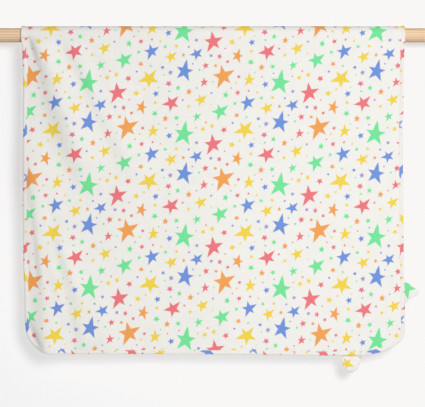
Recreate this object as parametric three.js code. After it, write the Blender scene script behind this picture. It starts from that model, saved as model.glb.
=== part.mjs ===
// A hooded baby blanket folded over a wooden rod.
// Millimetres, +Z up, +X along the rod to the viewer's right, the viewer on the -Y side.
// The origin is on the rod's axis, at the middle of its length.
//
// The cloth is described on its flat cut first: u runs across it (0 at the middle) and v runs up it
// from the front hem, over the rod and down to the rear hem. hang() then gives the place in the air
// of any point of the cut, so every sewn piece follows the cloth's folds.

import * as THREE from "three";

// Driving dimensions
const ROD_DIAMETER = 28;
const ROD_LENGTH = 900;
const ROD_END_BEVEL = 1;
const ROD_SIDES = 32;

const CUT_WIDTH = 750;
const CUT_LENGTH = 1000;
const CLOTH_THICKNESS = 3;
const FRONT_DROP = 623;
const CLOTH_OFF_ROD = 0.7;

// The thick bound edge lifts the cloth a little where it crosses the rod
const EDGE_LIFT = 1.2;
const EDGE_LIFT_RUN = 45;

// Corner curves of the cut: how far each runs along the hem and up the side edge
const FRONT_CORNER = { alongHem: 54, upEdge: 60 };
const HOOD_CORNER = { alongHem: 99, upEdge: 47 };
const REAR_CORNER = { alongHem: 50, upEdge: 50 };

const BINDING_WIDTH = 8.1;
const BINDING_PLY = 0.7;
const BINDING_SWELL = 0.15;
const SEAM_GAP = 0.39;
const BINDING_BITE = 6.2;

const HOOD_LEG = 299;
const HOOD_PLY = 2;
const HOOD_OFF_CLOTH = 0.7;
const HOOD_END = 8;
const HOOD_GAPE = 26;
const HOOD_ROWS = 7;
// How sharply the hood swells off the blanket, towards its mouth and along it
const SWELL_TO_MOUTH = 1.5;
const SWELL_ALONG_MOUTH = 1.2;

const EAR_PLY = 3;
const EAR_RIM_PLY = 1.6;
const EAR_ROOT = 7.7;

// How finely the cloth is stepped: bands of columns from the left edge, as width and steps
const COLUMN_BANDS = [
  { name: "creased left side", width: 190, steps: 13 },
  { name: "soft middle left", width: 190, steps: 7 },
  { name: "flat right side", width: 353, steps: 13 },
];
const CORNER_STEPS = 6;
const FRONT_STEPS = 17;
const OVER_ROD_STEPS = 8;
const REAR_STEPS = 7;

// How far each side edge hangs in from its full width, by drop below the rod's axis
const FRONT_EDGES = [
  { drop: 0, left: 0, right: 0 },
  { drop: 30, left: 3.4, right: 1.8 },
  { drop: 90, left: 5, right: 3.2 },
  { drop: 220, left: 5.2, right: 5 },
  { drop: 340, left: 5, right: 4.2 },
  { drop: 440, left: 5.5, right: 3.4 },
  { drop: 520, left: 8.5, right: 1.2 },
  { drop: 640, left: 8.8, right: 0.8 },
];
const REAR_EDGES = [
  { drop: 0, left: 0, right: 0 },
  { drop: 80, left: 4, right: 3 },
  { drop: 340, left: 7, right: 9 },
];

// How far the front hem sags below its level, by place across
const HEM_SAG = [
  { across: -380, sag: 0 },
  { across: 0, sag: 0.5 },
  { across: 255, sag: 3.3 },
  { across: 380, sag: 2 },
];
const HEM_SAG_STARTS = 300;

// Soft ridges in each flap. Each runs down the cloth between two drops, through three places across,
// and falls away over a width on its left and one on its right, which pinch narrows towards the rod.
function asRidge([from, to, top, mid, foot, rise, leftRun, rightRun, startsOver, endsOver, pinch]) {
  return { from, to, top, mid, foot, rise, leftRun, rightRun, startsOver, endsOver, pinch };
}
const FRONT_RIDGES = [
  [0, 350, -349, -284, -226, 9, 25, 55, 22, 150, 0.5],
  [0, 320, -288, -205, -132, 5, 21, 40, 40, 120, 0.7],
  [4, 200, -232, -190, -160, 2.4, 16, 34, 40, 90, 1],
  [190, 760, -354, -326, -318, 7.5, 19, 46, 110, 60, 1],
  [350, 700, -312, -262, -214, 4.2, 20, 40, 90, 120, 1],
  [470, 760, -232, -208, -190, 2.2, 20, 40, 60, 60, 1],
  [540, 700, -352, -322, -290, 3, 12, 26, 50, 30, 1],
  [150, 760, -20, 18, 40, 2.2, 60, 70, 180, 60, 1],
  [60, 760, 362, 352, 350, 2.4, 52, 44, 160, 60, 1],
].map(asRidge);
const REAR_RIDGES = [
  [10, 470, -250, -262, -275, 5, 45, 60, 120, 120, 1],
  [20, 470, -40, -18, 10, 3.5, 60, 50, 130, 130, 1],
  [10, 470, 235, 262, 282, 5.5, 50, 45, 120, 120, 1],
].map(asRidge);
// Over how much drop a ridge's width opens from its pinch to its full run
const PINCH_OPENS_OVER = 150;

// The ears: which edge holds each, its middle along that edge, its width there, its reach past the
// edge, the two powers of its outline (a high first one is blunt) and how far its tip leans
const EARS = [
  {
    name: "ear_bottom",
    edge: "hem",
    middle: 269.5,
    width: 37,
    reach: 31.5,
    blunt: 3.1,
    power: 0.5,
    lean: -1,
  },
  {
    name: "ear_side",
    edge: "side",
    middle: 124,
    width: 40,
    reach: 28.7,
    blunt: 1.4,
    power: 0.66,
    lean: -5,
  },
];
const EAR_ROWS = [0, 0.16, 0.32, 0.5, 0.66, 0.8, 0.9, 0.965, 0.992];
const EAR_COLUMNS = 6;

const COLOURS = {
  cloth: 0xf3f1eb,
  edge: 0xf1ece4,
  hood: 0xefece5,
  ear: 0xf4efe6,
  wood: 0xe8c8a6,
};
const CLOTH_ROUGHNESS = 0.92;
const WOOD_ROUGHNESS = 0.6;

// The small step over which the cloth's slope is taken
const SLOPE_STEP = 0.5;

// Worked-out sizes
const ROD_RADIUS = ROD_DIAMETER / 2;
const HALF_CLOTH = CLOTH_THICKNESS / 2;
const BEND_RADIUS = ROD_RADIUS + CLOTH_OFF_ROD + HALF_CLOTH;
const OVER_ROD = Math.PI * BEND_RADIUS;
const BINDING_FACE = HALF_CLOTH + SEAM_GAP + BINDING_PLY;
const SEAM_INSET = BINDING_WIDTH + SEAM_GAP;
const HALF_SEAM_WIDTH = CUT_WIDTH / 2 - SEAM_INSET;

// Reads one column of a table whose rows are in order of another, eased between rows
function readTable(rows, orderedBy, column, at) {
  if (at <= rows[0][orderedBy]) return rows[0][column];
  for (let i = 1; i < rows.length; i += 1) {
    const low = rows[i - 1];
    const high = rows[i];
    if (at <= high[orderedBy]) {
      const share = THREE.MathUtils.smoothstep(at, low[orderedBy], high[orderedBy]);
      return THREE.MathUtils.lerp(low[column], high[column], share);
    }
  }
  return rows[rows.length - 1][column];
}

// Height of one ridge at a place across and a drop below the rod's axis
function ridgeHeight(ridge, across, drop) {
  const t = THREE.MathUtils.clamp((drop - ridge.from) / (ridge.to - ridge.from), 0, 1);
  const upper = ridge.top * (1 - t) * (1 - 2 * t);
  const crest = upper + 4 * ridge.mid * t * (1 - t) + ridge.foot * t * (2 * t - 1);
  const side = across - crest;
  const opened = THREE.MathUtils.smoothstep(drop, ridge.from, ridge.from + PINCH_OPENS_OVER);
  const fullRun = side < 0 ? ridge.leftRun : ridge.rightRun;
  const run = fullRun * THREE.MathUtils.lerp(ridge.pinch, 1, opened);
  const starts = THREE.MathUtils.smoothstep(drop, ridge.from, ridge.from + ridge.startsOver);
  const ends = 1 - THREE.MathUtils.smoothstep(drop, ridge.to - ridge.endsOver, ridge.to);
  return ridge.rise * starts * ends * Math.exp(-((side / run) ** 2));
}

function foldHeight(ridges, across, drop) {
  return ridges.reduce((sum, ridge) => sum + ridgeHeight(ridge, across, drop), 0);
}

// How far the cloth's middle stands from the rod's axis at a place across
function standOff(u) {
  const edge = CUT_WIDTH / 2;
  const lifted = THREE.MathUtils.smoothstep(Math.abs(u), edge - EDGE_LIFT_RUN, edge - SEAM_INSET);
  return BEND_RADIUS + EDGE_LIFT * lifted;
}

// Where a point of the flat cut hangs: the middle of the cloth's thickness
function hang(u, v) {
  const pastFront = v - FRONT_DROP;
  const pastRod = pastFront - OVER_ROD;
  const share = u / CUT_WIDTH + 0.5;
  if (pastFront <= 0) {
    const drop = -pastFront;
    const left = readTable(FRONT_EDGES, "drop", "left", drop);
    const right = readTable(FRONT_EDGES, "drop", "right", drop);
    const across = u + left * (1 - share) - right * share;
    const sag = readTable(HEM_SAG, "across", "sag", across);
    const lower = sag * THREE.MathUtils.smoothstep(drop, HEM_SAG_STARTS, FRONT_DROP);
    const y = -standOff(u) - foldHeight(FRONT_RIDGES, across, drop);
    return new THREE.Vector3(across, y, -drop - lower);
  }
  if (pastRod >= 0) {
    const left = readTable(REAR_EDGES, "drop", "left", pastRod);
    const right = readTable(REAR_EDGES, "drop", "right", pastRod);
    const across = u + left * (1 - share) - right * share;
    return new THREE.Vector3(across, standOff(u) + foldHeight(REAR_RIDGES, across, pastRod), -pastRod);
  }
  const turn = pastFront / BEND_RADIUS;
  return new THREE.Vector3(u, -standOff(u) * Math.cos(turn), standOff(u) * Math.sin(turn));
}

// A point off the cloth's middle by a height along its outward normal
function offCloth(u, v, height) {
  const step = SLOPE_STEP;
  const alongU = hang(u + step, v).sub(hang(u - step, v));
  const alongV = hang(u, v + step).sub(hang(u, v - step));
  const outward = alongU.cross(alongV).normalize();
  return hang(u, v).addScaledVector(outward, height);
}

// Half the seam line's width at a place v up the cut, on one side: a quarter curve at each corner
function seamReach(v, frontCorner) {
  const fromFront = v - SEAM_INSET;
  const fromRear = CUT_LENGTH - SEAM_INSET - v;
  const corner = fromFront < fromRear ? frontCorner : REAR_CORNER;
  const up = corner.upEdge - SEAM_INSET;
  const along = corner.alongHem - SEAM_INSET;
  const share = THREE.MathUtils.clamp(Math.min(fromFront, fromRear) / up, 0, 1);
  return HALF_SEAM_WIDTH - along * (1 - Math.sqrt(1 - (1 - share) ** 2));
}

// Evenly stepped values after a start, up to and with the end
function stepsTo(start, end, count) {
  return Array.from({ length: count }, (_, i) => start + ((end - start) * (i + 1)) / count);
}

// The places v of the cloth's rows: close together round the corners and over the rod
function rowPlaces() {
  const cornerUp = Math.max(FRONT_CORNER.upEdge, HOOD_CORNER.upEdge) - SEAM_INSET;
  const rearUp = REAR_CORNER.upEdge - SEAM_INSET;
  const places = [];
  for (let i = 0; i <= CORNER_STEPS; i += 1) {
    places.push(SEAM_INSET + cornerUp * (1 - Math.cos((i * Math.PI) / 2 / CORNER_STEPS)));
  }
  places.push(...stepsTo(SEAM_INSET + cornerUp, FRONT_DROP, FRONT_STEPS));
  places.push(...stepsTo(FRONT_DROP, FRONT_DROP + OVER_ROD, OVER_ROD_STEPS));
  places.push(...stepsTo(FRONT_DROP + OVER_ROD, CUT_LENGTH - SEAM_INSET - rearUp, REAR_STEPS));
  for (let i = 1; i <= CORNER_STEPS; i += 1) {
    places.push(CUT_LENGTH - SEAM_INSET - rearUp * (1 - Math.sin((i * Math.PI) / 2 / CORNER_STEPS)));
  }
  return places;
}

function columnShares() {
  const total = COLUMN_BANDS.reduce((sum, band) => sum + band.width, 0);
  const shares = [0];
  for (const band of COLUMN_BANDS) {
    const start = shares[shares.length - 1];
    shares.push(...stepsTo(start, start + band.width / total, band.steps));
  }
  return shares;
}

// A patch of the flat cut: points [u, v], four-sided cells and the rim, all counter-clockwise
function gridPatch(rows) {
  const across = rows[0].length;
  const cells = [];
  for (let j = 0; j + 1 < rows.length; j += 1) {
    for (let i = 0; i + 1 < across; i += 1) {
      const at = j * across + i;
      cells.push([at, at + 1, at + across + 1, at + across]);
    }
  }
  const last = rows.length - 1;
  const rim = [];
  for (let i = 0; i < across - 1; i += 1) rim.push(i);
  for (let j = 0; j < last; j += 1) rim.push(j * across + across - 1);
  for (let i = across - 1; i > 0; i -= 1) rim.push(last * across + i);
  for (let j = last; j > 0; j -= 1) rim.push(j * across);
  return { points: rows.flat(), cells, rim };
}

// For each corner of a closed outline, the way out that keeps a parallel outline parallel
function mitres(outline) {
  const outwards = outline.map((from, i) => {
    const to = outline[(i + 1) % outline.length];
    const length = Math.hypot(to[0] - from[0], to[1] - from[1]);
    return [(to[1] - from[1]) / length, (from[0] - to[0]) / length];
  });
  return outline.map((_, i) => {
    const before = outwards[(i + outline.length - 1) % outline.length];
    const after = outwards[i];
    const scale = 1 / (1 + before[0] * after[0] + before[1] * after[1]);
    return [(before[0] + after[0]) * scale, (before[1] + after[1]) * scale];
  });
}

function shifted(point, way, distance) {
  return [point[0] + way[0] * distance, point[1] + way[1] * distance];
}

// Adds one band of cells of the given width round a patch's rim
function withBand(patch, width) {
  const outline = patch.rim.map((index) => patch.points[index]);
  const ways = mitres(outline);
  const first = patch.points.length;
  const outer = outline.map((point, i) => shifted(point, ways[i], width));
  const rim = outer.map((_, i) => first + i);
  const band = patch.rim.map((inner, i) => {
    const next = (i + 1) % patch.rim.length;
    return [inner, first + i, first + next, patch.rim[next]];
  });
  return { points: [...patch.points, ...outer], cells: [...patch.cells, ...band], rim };
}

function clothMesh(name, vertices, triangles, colour) {
  const geometry = new THREE.BufferGeometry();
  const places = vertices.flatMap((vertex) => vertex.toArray());
  geometry.setAttribute("position", new THREE.Float32BufferAttribute(places, 3));
  geometry.setIndex(triangles.flat());
  geometry.computeVertexNormals();
  const finish = { color: colour, roughness: CLOTH_ROUGHNESS, metalness: 0 };
  const mesh = new THREE.Mesh(geometry, new THREE.MeshStandardMaterial(finish));
  mesh.name = name;
  return mesh;
}

function halves([a, b, c, d]) {
  return [
    [a, b, c],
    [a, c, d],
  ];
}

// A closed sheet: the patch's outward face, its inward face, and a wall round the rim
function sheet(name, patch, outerHeight, innerHeight, colour) {
  const count = patch.points.length;
  const outer = patch.points.map(([u, v], i) => offCloth(u, v, outerHeight(i)));
  const inner = patch.points.map(([u, v], i) => offCloth(u, v, innerHeight(i)));
  const triangles = patch.cells.flatMap((cell) => {
    const front = halves(cell);
    return [...front, ...front.map(([a, b, c]) => [count + a, count + c, count + b])];
  });
  patch.rim.forEach((from, i) => {
    const to = patch.rim[(i + 1) % patch.rim.length];
    triangles.push(...halves([from, count + from, count + to, to]));
  });
  return clothMesh(name, [...outer, ...inner], triangles, colour);
}

// The grid inside the binding's seam line
function seamPatch() {
  const shares = columnShares();
  return gridPatch(
    rowPlaces().map((v) => {
      const left = -seamReach(v, FRONT_CORNER);
      const right = seamReach(v, HOOD_CORNER);
      return shares.map((share) => [THREE.MathUtils.lerp(left, right, share), v]);
    }),
  );
}

function makeBlanketBody(patch) {
  const whole = withBand(patch, BINDING_BITE);
  return sheet("blanket_body", whole, () => HALF_CLOTH, () => -HALF_CLOTH, COLOURS.cloth);
}

// The strip folded over the edge: one section, carried round the seam line.
// Its rows are how far each corner lies outside the seam line and off the cloth's middle.
function makeBinding(seamLine) {
  const slot = HALF_CLOTH + SEAM_GAP;
  const face = BINDING_FACE;
  const slotEnd = BINDING_BITE + SEAM_GAP;
  const section = [
    { out: SEAM_GAP, height: slot },
    { out: slotEnd, height: slot },
    { out: slotEnd, height: -slot },
    { out: SEAM_GAP, height: -slot },
    { out: SEAM_GAP, height: -face },
    { out: slotEnd, height: -face - BINDING_SWELL },
    { out: SEAM_INSET, height: -HALF_CLOTH },
    { out: SEAM_INSET, height: HALF_CLOTH },
    { out: slotEnd, height: face + BINDING_SWELL },
    { out: SEAM_GAP, height: face },
  ];
  const ways = mitres(seamLine);
  const vertices = [];
  const triangles = [];
  seamLine.forEach((point, i) => {
    const next = (i + 1) % seamLine.length;
    section.forEach(({ out, height }, k) => {
      const [u, v] = shifted(point, ways[i], out);
      vertices.push(offCloth(u, v, height));
      const beside = (k + 1) % section.length;
      const here = i * section.length;
      const there = next * section.length;
      const cell = [here + k, there + k, there + beside, here + beside];
      // Each cell is halved from its inner corner here to its outer corner there, as the cloth's are
      const outwards = section[beside].out >= out;
      triangles.push(...halves(outwards ? cell : [...cell.slice(1), cell[0]]));
    });
  });
  return clothMesh("edge_binding", vertices, triangles, COLOURS.edge);
}

// The hood lies on the rear of the hood corner. Its outer side follows the seam line, and its mouth
// runs straight across, where it stands off the blanket.
function makeHood(seamLine) {
  const reach = CUT_WIDTH / 2 - HOOD_LEG;
  const outerSide = seamLine.filter(([u, v]) => u >= reach && v <= HOOD_LEG);
  const last = outerSide.length - 1;
  const mouthStart = shifted(outerSide[0], [0, 1], HOOD_END);
  const mouthEnd = shifted(outerSide[last], [-1, 0], HOOD_END);
  const between = (from, to, share) => from.map((value, i) => THREE.MathUtils.lerp(value, to[i], share));
  const rows = [0, ...stepsTo(0, 1, HOOD_ROWS)].map((share) =>
    outerSide.map((point, i) => between(point, between(mouthStart, mouthEnd, i / last), share)),
  );
  const behind = (index) => {
    const alongMouth = (index % (last + 1)) / last;
    const towardsMouth = Math.floor(index / (last + 1)) / HOOD_ROWS;
    const rise = Math.sin((towardsMouth * Math.PI) / 2) ** SWELL_TO_MOUTH;
    const belly = Math.sin(alongMouth * Math.PI) ** SWELL_ALONG_MOUTH;
    return -HALF_CLOTH - HOOD_OFF_CLOTH - HOOD_GAPE * rise * belly;
  };
  return sheet("hood", gridPatch(rows), behind, (i) => behind(i) - HOOD_PLY, COLOURS.hood);
}

// An ear: a tab rooted behind the binding, thickest along its middle
function makeEar(ear) {
  const length = EAR_ROOT + ear.reach;
  const place = (t, side) => {
    const halfWidth = (ear.width / 2) * (1 - t ** ear.blunt) ** ear.power;
    const along = ear.middle + halfWidth * side + ear.lean * t * t;
    const out = t * length - EAR_ROOT;
    return ear.edge === "hem" ? [along, -out] : [CUT_WIDTH / 2 + out, along];
  };
  const sides = [-1, ...stepsTo(-1, 1, EAR_COLUMNS)];
  const fromTip = EAR_ROWS.toReversed().map((t) => sides.map((side) => place(t, side)));
  const fromRoot = sides.map((side) => EAR_ROWS.map((t) => place(t, side)));
  const patch = gridPatch(ear.edge === "hem" ? fromTip : fromRoot);
  const onRim = new Set(patch.rim);
  const middle = -(BINDING_FACE + BINDING_SWELL + SEAM_GAP + EAR_PLY / 2);
  const halfPly = (i) => (onRim.has(i) ? EAR_RIM_PLY : EAR_PLY) / 2;
  return sheet(ear.name, patch, (i) => middle + halfPly(i), (i) => middle - halfPly(i), COLOURS.ear);
}

function makeRod() {
  const half = ROD_LENGTH / 2;
  const profile = [
    new THREE.Vector2(0, -half),
    new THREE.Vector2(ROD_RADIUS - ROD_END_BEVEL, -half),
    new THREE.Vector2(ROD_RADIUS, -half + ROD_END_BEVEL),
    new THREE.Vector2(ROD_RADIUS, half - ROD_END_BEVEL),
    new THREE.Vector2(ROD_RADIUS - ROD_END_BEVEL, half),
    new THREE.Vector2(0, half),
  ];
  const finish = { color: COLOURS.wood, roughness: WOOD_ROUGHNESS, metalness: 0 };
  const turned = new THREE.LatheGeometry(profile, ROD_SIDES);
  const rod = new THREE.Mesh(turned, new THREE.MeshStandardMaterial(finish));
  rod.name = "rod";
  rod.rotation.z = -Math.PI / 2;
  return rod;
}

const blanketOnRod = new THREE.Group();
const seam = seamPatch();
const seamLine = seam.rim.map((index) => seam.points[index]);
blanketOnRod.add(makeRod(), makeBlanketBody(seam), makeBinding(seamLine), makeHood(seamLine));
EARS.forEach((ear) => blanketOnRod.add(makeEar(ear)));

export default blanketOnRod;
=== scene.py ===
# A hooded baby blanket folded over a wooden rod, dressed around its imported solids.
# Lengths are worked out in millimetres, as in the part's source, and become metres in each mesh.
# The viewer is on the -Y side, and +X runs along the rod to the right.

import math

import bpy
import numpy as np
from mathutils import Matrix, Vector
from mathutils.kdtree import KDTree


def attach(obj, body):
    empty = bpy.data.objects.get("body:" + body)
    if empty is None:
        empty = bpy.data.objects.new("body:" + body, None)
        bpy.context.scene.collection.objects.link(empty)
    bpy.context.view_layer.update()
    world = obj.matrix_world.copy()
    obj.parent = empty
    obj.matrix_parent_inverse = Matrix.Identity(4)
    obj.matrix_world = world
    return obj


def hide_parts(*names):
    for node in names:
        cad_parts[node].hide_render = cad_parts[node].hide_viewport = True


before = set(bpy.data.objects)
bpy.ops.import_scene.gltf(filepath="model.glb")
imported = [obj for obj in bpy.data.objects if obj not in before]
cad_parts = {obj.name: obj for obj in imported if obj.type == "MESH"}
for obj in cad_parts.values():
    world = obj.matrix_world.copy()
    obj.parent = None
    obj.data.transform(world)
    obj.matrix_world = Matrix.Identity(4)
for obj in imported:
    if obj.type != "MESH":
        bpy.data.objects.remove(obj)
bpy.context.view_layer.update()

MM = 0.001

# The camera: square on to the cloth, through a long lens

PHOTO_WIDTH_PX = 425
MM_PER_PIXEL = 1.948
LENS = 135
SENSOR = 36
CLOTH_FACE = -17.7
CAMERA_ACROSS = -1.0
CAMERA_UP = -329.8

# Sizes shared with the part's source

ROD_RADIUS = 14
ROD_LENGTH = 900
CUT_WIDTH = 750
CUT_LENGTH = 1000
CLOTH_THICKNESS = 3
FRONT_DROP = 623
CLOTH_OFF_ROD = 0.7
# The solids lift the bound edge by 1.2 over the rod; soft cloth is pressed thinner there instead
EDGE_LIFT = 0.3
PRESSED_ON_ROD = 0.9
EDGE_LIFT_RUN = 45
FRONT_CORNER = (54, 60)
HOOD_CORNER = (99, 47)
REAR_CORNER = (50, 50)
BINDING_WIDTH = 8.1
BINDING_PLY = 0.7
SEAM_GAP = 0.39
BINDING_BITE = 6.2
HOOD_LEG = 299
HOOD_OFF_CLOTH = 0.7
HOOD_END = 8
HOOD_GAPE = 26
SWELL_TO_MOUTH = 1.5
SWELL_ALONG_MOUTH = 1.2
EAR_ROOT = 7.7
HEM_SAG_STARTS = 300
SLOPE_STEP = 0.5

# Drop below the rod's axis, and how far the left and right edges hang in there
FRONT_EDGES = [
    (0, 0, 0),
    (30, 3.4, 1.8),
    (90, 5, 3.2),
    (220, 5.2, 5),
    (340, 5, 4.2),
    (440, 5.5, 3.4),
    (520, 8.5, 1.2),
    (640, 8.8, 0.8),
]
REAR_EDGES = [(0, 0, 0), (80, 4, 3), (340, 7, 9)]
# Place across, and how far the front hem sags there
HEM_SAG = [(-380, 0), (0, 0.5), (255, 3.3), (380, 2)]
# Ridges of the cloth: from, to (drops), top, mid, foot (places across), rise, left run, right run,
# how much drop it starts over and ends over, and how far its width is pinched towards the rod.
# They are the source's, but the fourth lies nearer the left edge here, as in the photograph
FRONT_RIDGES = [
    (0, 350, -349, -284, -226, 9, 25, 55, 22, 150, 0.5),
    (0, 320, -288, -205, -132, 5, 21, 40, 40, 120, 0.7),
    (4, 200, -232, -190, -160, 2.4, 16, 34, 40, 90, 1),
    (180, 760, -365, -330, -318, 6.8, 19, 44, 100, 60, 1),
    (350, 700, -312, -262, -214, 4.2, 20, 40, 90, 120, 1),
    (470, 760, -232, -208, -190, 2.2, 20, 40, 60, 60, 1),
    (540, 700, -352, -322, -290, 3, 12, 26, 50, 30, 1),
    (150, 760, -20, 18, 40, 2.2, 60, 70, 180, 60, 1),
    (60, 760, 362, 352, 350, 2.4, 52, 44, 160, 60, 1),
]
REAR_RIDGES = [
    (10, 470, -250, -262, -275, 5, 45, 60, 120, 120, 1),
    (20, 470, -40, -18, 10, 3.5, 60, 50, 130, 130, 1),
    (10, 470, 235, 262, 282, 5.5, 50, 45, 120, 120, 1),
]
PINCH_OPENS_OVER = 150
# Fine creases of the front, in the same columns: a groove has its rise below zero
FINE_CREASES = [
    (0, 80, -363, -353, -337, -1.9, 3.6, 5, 3, 40, 1),
    (16, 270, -338, -295, -252, 1.1, 6, 15, 40, 90, 1),
    (20, 250, -280, -232, -185, 0.6, 6, 14, 40, 90, 1),
    (300, 520, -362, -355, -344, -1.3, 4, 7, 60, 60, 1),
    (280, 640, -334, -302, -272, -1.5, 10, 12, 80, 60, 1),
    (380, 560, -345, -338, -330, 0.9, 5, 9, 60, 70, 1),
    (370, 570, -315, -280, -245, 1.6, 10, 22, 50, 60, 1),
    (400, 623, -329, -303, -268, 1.8, 12, 24, 60, 30, 1),
    (553, 623, -371, -359, -342, -2.5, 4, 8, 12, 10, 1),
]

HALF_CLOTH = CLOTH_THICKNESS / 2
BEND_RADIUS = ROD_RADIUS + CLOTH_OFF_ROD + HALF_CLOTH
OVER_ROD = math.pi * BEND_RADIUS
BINDING_FACE = HALF_CLOTH + SEAM_GAP + BINDING_PLY
SEAM_INSET = BINDING_WIDTH + SEAM_GAP
HALF_SEAM_WIDTH = CUT_WIDTH / 2 - SEAM_INSET

# How finely the cloth pieces are meshed

CREASED_SHARE = 0.34
CREASED_COLUMNS = 82
PLAIN_COLUMNS = 108
CORNER_ROWS = 16
FLAP_ROW = 4.3
OVER_ROD_ROWS = 22
REAR_ROW = 4.6
BINDING_STATION = 3.2
HOOD_ROWS = 52

# Needlework and small unevenness

PUCKER_HEIGHT = 0.32
PUCKER_REACH = 7.5
PUCKER_SPACING = 12.5
PUCKER_SEED = 1.0
# Washed jersey: heights of its slow and quick unevenness, and how much of them shows on the taut
# right side and more on the slack left one. Beside the rod it is drawn flat
COCKLE_SLOW = 0.7
COCKLE_QUICK = 0.16
COCKLE_ON_RIGHT = 0.4
COCKLE_MORE_ON_LEFT = 0.9
SLACKENS_ACROSS = (-330, 60)
FLAT_BESIDE_ROD = 60
# How much the edge seam draws the cloth's half thickness in, and over what reach
DRAWN_IN = 0.16
DRAWN_IN_REACH = 4.5
STITCH_PITCH = 3.0
STITCH_LENGTH = 2.3
THREAD_THICKNESS = 0.42
STITCH_INSET = 1.75
STITCHES_OFF_CLOTH = 1.82

# The print: tossed plain stars on a half-drop repeat

REPEAT_WIDTH = 189
REPEAT_HEIGHT = 200
PRINT_SEED = 23
LEAST_GAP = 5.6
STAR_NOTCH = 0.4
# The most that hand-drawn arms differ in length
STAR_UNEVEN = 0.1
# Each star is tried at random places. Its body fills a share of its radius, stars of one colour
# keep further apart, and one that finds less than a share of the least gap is left out
TRIES_PER_STAR = 90
STAR_BODY = 0.62
ALIKE_COUNTS = 0.55
ROOM_NEEDED = 0.92
# Small stars take the first place with this share of the least gap
SMALL_STAR = 5
ROOM_ENOUGH = 1.15
GREEN, BLUE, CORAL, ORANGE = "#68E998", "#648FE0", "#EF6F79", "#F5A041"
YELLOW, LILAC, PINK = "#F4D62F", "#9B93DD", "#E8738F"
# Radius of the stars, how deep their notches go (1 is no star) and their colours in turn
STAR_SIZES = [
    (23.0, STAR_NOTCH, [GREEN, ORANGE]),
    (20.0, STAR_NOTCH, [YELLOW, BLUE, CORAL]),
    (17.2, STAR_NOTCH, [CORAL, GREEN]),
    (15.6, STAR_NOTCH, [BLUE]),
    (13.0, STAR_NOTCH, [YELLOW, ORANGE, YELLOW, BLUE, YELLOW]),
    (9.2, STAR_NOTCH, [CORAL, GREEN]),
    (6.6, 0.5, [CORAL, GREEN, BLUE, ORANGE, PINK, YELLOW, GREEN, CORAL, ORANGE, BLUE]),
    (5.5, 0.5, [GREEN, YELLOW, CORAL, LILAC, ORANGE, GREEN, PINK, YELLOW]),
    (4.0, 0.55, [ORANGE, LILAC, YELLOW, GREEN, CORAL, YELLOW]),
    (4.0, 0.55, [BLUE, ORANGE, PINK, GREEN, YELLOW, LILAC]),
    (2.5, 0.68, [LILAC, YELLOW, GREEN, ORANGE, PINK, GREEN]),
    (2.5, 0.68, [YELLOW, LILAC, CORAL, YELLOW, BLUE, GREEN]),
    (1.7, 0.8, [GREEN, LILAC, PINK, YELLOW, LILAC, ORANGE]),
    (1.7, 0.8, [GREEN, PINK, BLUE, YELLOW, CORAL, GREEN]),
]


def eased(at, low, high):
    """A smooth step from 0 at low to 1 at high."""
    t = np.clip((at - low) / (high - low), 0, 1)
    return t * t * (3 - 2 * t)


def read_table(rows, column, at):
    """Reads a column of a table by its first column, eased between rows."""
    value = np.full_like(at, rows[0][column])
    for low, high in zip(rows, rows[1:]):
        between = low[column] + (high[column] - low[column]) * eased(at, low[0], high[0])
        value = np.where(at > low[0], between, value)
    return value


def fold_height(ridges, across, drop):
    """How far the ridges of a table raise the cloth at places across it and below the rod."""
    height = np.zeros_like(across)
    for start, end, top, mid, foot, rise, left_run, right_run, *shape in ridges:
        starts_over, ends_over, pinch = shape
        t = np.clip((drop - start) / (end - start), 0, 1)
        crest = top * (1 - t) * (1 - 2 * t) + 4 * mid * t * (1 - t) + foot * t * (2 * t - 1)
        side = across - crest
        run = np.where(side < 0, left_run, right_run)
        run = run * (pinch + (1 - pinch) * eased(drop, start, start + PINCH_OPENS_OVER))
        lasts = eased(drop, start, start + starts_over) * (1 - eased(drop, end - ends_over, end))
        height += rise * lasts * np.exp(-((side / run) ** 2))
    return height


def hang(u, v):
    """Where points of the flat cut hang: u across it from its middle, v up from the front hem."""
    u, v = np.broadcast_arrays(np.asarray(u, float), np.asarray(v, float))
    past_front = v - FRONT_DROP
    past_rod = past_front - OVER_ROD
    share = u / CUT_WIDTH + 0.5
    edge = CUT_WIDTH / 2
    stand_off = BEND_RADIUS + EDGE_LIFT * eased(np.abs(u), edge - EDGE_LIFT_RUN, edge - SEAM_INSET)

    def drawn_together(edges, drop):
        left, right = read_table(edges, 1, drop), read_table(edges, 2, drop)
        return u + left * (1 - share) - right * share

    drop = np.maximum(-past_front, 0)
    across = drawn_together(FRONT_EDGES, drop)
    sag = read_table(HEM_SAG, 1, across) * eased(drop, HEM_SAG_STARTS, FRONT_DROP)
    behind = -stand_off - fold_height(FRONT_RIDGES, across, drop)
    front = np.stack([across, behind, -drop - sag], -1)

    drop = np.maximum(past_rod, 0)
    across = drawn_together(REAR_EDGES, drop)
    rear = np.stack([across, stand_off + fold_height(REAR_RIDGES, across, drop), -drop], -1)

    turn = np.clip(past_front / BEND_RADIUS, 0, math.pi)
    over = np.stack([u, -stand_off * np.cos(turn), stand_off * np.sin(turn)], -1)
    hung = np.where((past_rod >= 0)[..., None], rear, over)
    return np.where((past_front <= 0)[..., None], front, hung)


def off_cloth(flat, height):
    """Points of the flat cut as they hang, off the cloth's middle by a height along its normal."""
    u, v = flat[:, 0], flat[:, 1]
    along_u = hang(u + SLOPE_STEP, v) - hang(u - SLOPE_STEP, v)
    along_v = hang(u, v + SLOPE_STEP) - hang(u, v - SLOPE_STEP)
    outward = np.cross(along_u, along_v)
    outward /= np.linalg.norm(outward, axis=-1, keepdims=True)
    return hang(u, v) + outward * np.asarray(height)[..., None]


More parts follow.
